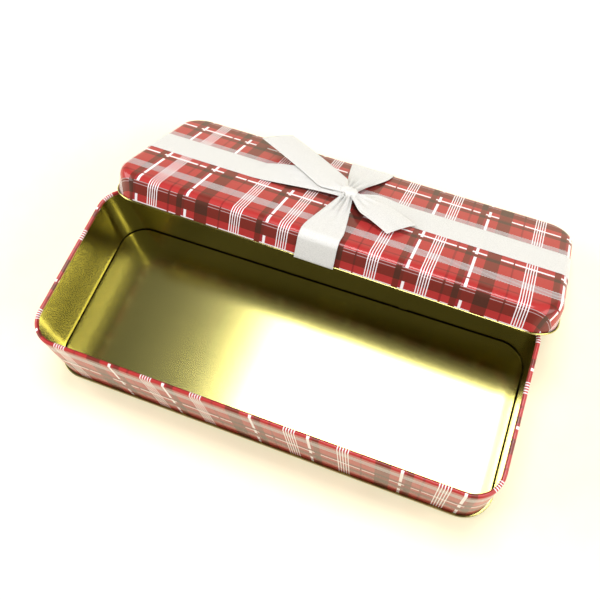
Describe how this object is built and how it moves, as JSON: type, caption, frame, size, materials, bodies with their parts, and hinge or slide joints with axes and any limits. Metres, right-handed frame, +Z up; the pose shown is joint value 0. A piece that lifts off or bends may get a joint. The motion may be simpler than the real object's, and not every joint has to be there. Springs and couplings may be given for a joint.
{
  "type": "cookie tin",
  "caption": "Long rectangular tinplate cookie tin with rounded corners, tartan print and a ribboned slip lid that leans over its back wall.",
  "frame": {"origin": "centre of the base's foot ring, on the surface that the tin stands on", "axes": "+X along the tin's long side, +Y from the front wall to the back wall, where the lid leans, +Z up"},
  "size_m": [0.3012, 0.2112, 0.0783],
  "materials": {
    "printed_tinplate": "gloss tartan print over white base coat, clear varnish",
    "gold_lacquer": "gold food lacquer on bright tinplate, glossy",
    "white_ribbon": "sheer satin weave",
    "adhesive_tab": "matt paper-backed adhesive tab"
  },
  "bodies": {
    "base": {"body_wall": "printed_tinplate", "bottom_panel": "gold_lacquer"},
    "lid": {"lid_shell": "printed_tinplate", "ribbon_lengthwise": "white_ribbon", "ribbon_crosswise": "white_ribbon", "tie_knot": "white_ribbon", "tie_tail_front": "white_ribbon", "tie_tail_back": "white_ribbon", "tab_right": "adhesive_tab", "tab_left": "adhesive_tab", "tab_back": "adhesive_tab", "tab_front": "adhesive_tab"}
  },
  "joints": [
    {"name": "lid_lift", "type": "slide", "parent": "base", "child": "lid", "axis": [0, 0, 1], "range_m": [0, 0.12]}
  ]
}
